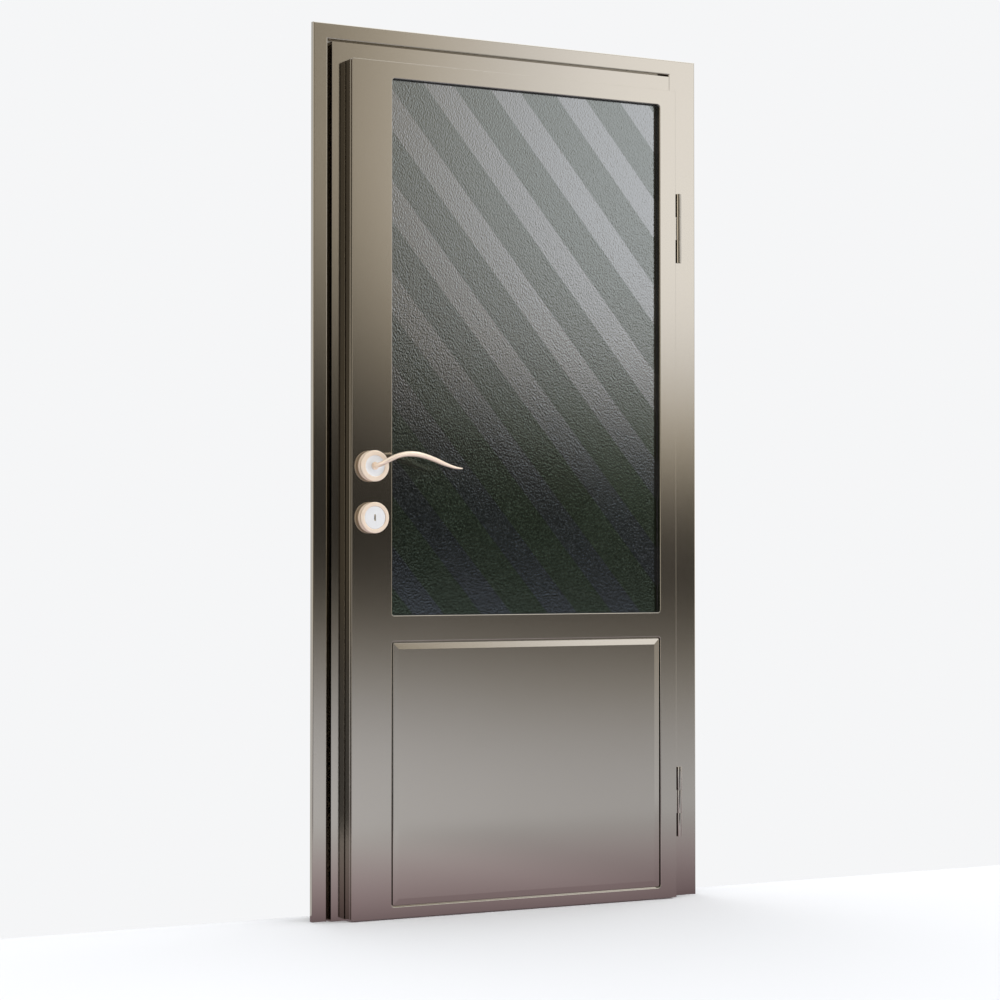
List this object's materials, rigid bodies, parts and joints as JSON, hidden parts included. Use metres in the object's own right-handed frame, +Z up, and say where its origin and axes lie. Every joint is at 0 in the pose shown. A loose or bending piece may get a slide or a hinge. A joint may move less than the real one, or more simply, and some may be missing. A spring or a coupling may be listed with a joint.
{
  "type": "glazed entrance door with frame",
  "caption": "Glazed metal entrance door in its own frame: textured glass over a raised panel, wave lever, key plate, barrel hinges and a geared deadbolt.",
  "frame": {"origin": "on the finished floor under the sill, at the middle of the frame's overall width, in the plane of the wall's outside face that the casing lies against", "axes": "+X to the right seen from outside, towards the hinges; +Y from outside into the wall; +Z up"},
  "size_m": [1.044, 0.2, 2.07],
  "materials": {
    "frame_metal": "satin champagne bronze",
    "leaf_metal": "satin champagne bronze",
    "hinge_metal": "satin champagne bronze",
    "galvanised_tube": "galvanised, dull",
    "sill_metal": "satin anodised",
    "spacer_metal": "mill finish",
    "cast_base": "as cast",
    "black_rubber": "matt",
    "block_plastic": "matt",
    "insulation": "foamed board",
    "patterned_glass": "fine pebbled relief with broad slanting bands",
    "clear_glass": "clear float",
    "rose_gold": "polished rose gold plating",
    "bright_disc": "satin chrome",
    "lock_steel": "brushed",
    "bright_steel": "bright zinc",
    "cylinder_brass": "plain brass"
  },
  "bodies": {
    "frame": {"lock_jamb": "frame_metal", "hinge_jamb": "frame_metal", "head_jamb": "frame_metal", "threshold": "sill_metal", "lock_casing": "frame_metal", "head_casing": "frame_metal", "hinge_casing": "frame_metal", "frame_seal": "black_rubber", "strike_plate": "lock_steel", "strike_screws": "bright_steel", "lower_hinge_frame_half": "hinge_metal", "upper_hinge_frame_half": "hinge_metal", "lower_hinge_pin": "bright_steel", "upper_hinge_pin": "bright_steel"},
    "leaf": {"outside_skin": "leaf_metal", "inside_skin": "leaf_metal", "lock_stile": "galvanised_tube", "hinge_stile": "galvanised_tube", "top_rail": "galvanised_tube", "mid_rail": "galvanised_tube", "bottom_rail": "galvanised_tube", "outside_panel": "leaf_metal", "inside_panel": "leaf_metal", "insulation_board": "insulation", "outer_glass": "patterned_glass", "inner_glass": "clear_glass", "glass_spacer": "spacer_metal", "outer_gasket": "black_rubber", "inner_gasket": "black_rubber", "setting_blocks": "block_plastic", "glazing_beads": "leaf_metal", "lock_case": "lock_steel", "forend": "lock_steel", "forend_screws": "bright_steel", "cylinder_body": "cylinder_brass", "cylinder_screw": "bright_steel", "handle_rose_outside": "rose_gold", "key_rose_outside": "rose_gold", "spring_cassette": "cast_base", "handle_disc": "bright_disc", "inside_backplate": "rose_gold", "lower_hinge_leaf_half": "hinge_metal", "upper_hinge_leaf_half": "hinge_metal"},
    "handle": {"lever_outside": "rose_gold", "lever_inside": "rose_gold", "spindle": "lock_steel", "follower": "lock_steel"},
    "latch": {"latch_bolt": "lock_steel"},
    "deadbolt": {"deadbolt": "lock_steel"},
    "key_core": {"plug_outside": "cylinder_brass", "plug_inside": "cylinder_brass", "cam_gear": "cylinder_brass", "keyhole_disc": "bright_disc", "thumbturn": "rose_gold"}
  },
  "joints": [
    {"name": "leaf_swing", "type": "hinge", "parent": "frame", "child": "leaf", "pos_m": [0.448, -0.052, 0], "axis": [0, 0, 1], "range_deg": [0, 165]},
    {"name": "handle_turn", "type": "hinge", "parent": "leaf", "child": "handle", "pos_m": [-0.3935, 0, 1.045], "axis": [0, 1, 0], "range_deg": [0, 45], "stiffness_Nm_per_rad": 1.2, "springref_deg": -34.38},
    {"name": "latch_slide", "type": "slide", "parent": "leaf", "child": "latch", "axis": [-1, 0, 0], "range_m": [0, 0.012]},
    {"name": "key_turn", "type": "hinge", "parent": "leaf", "child": "key_core", "pos_m": [-0.3935, 0, 0.926], "axis": [0, -1, 0], "range_deg": [0, 180]},
    {"name": "deadbolt_slide", "type": "slide", "parent": "leaf", "child": "deadbolt", "axis": [-1, 0, 0], "range_m": [0, 0.022]}
  ],
  "couplings": [
    {"joint": "deadbolt_slide", "follows": "key_turn", "m_per_rad": 0.007}
  ]
}
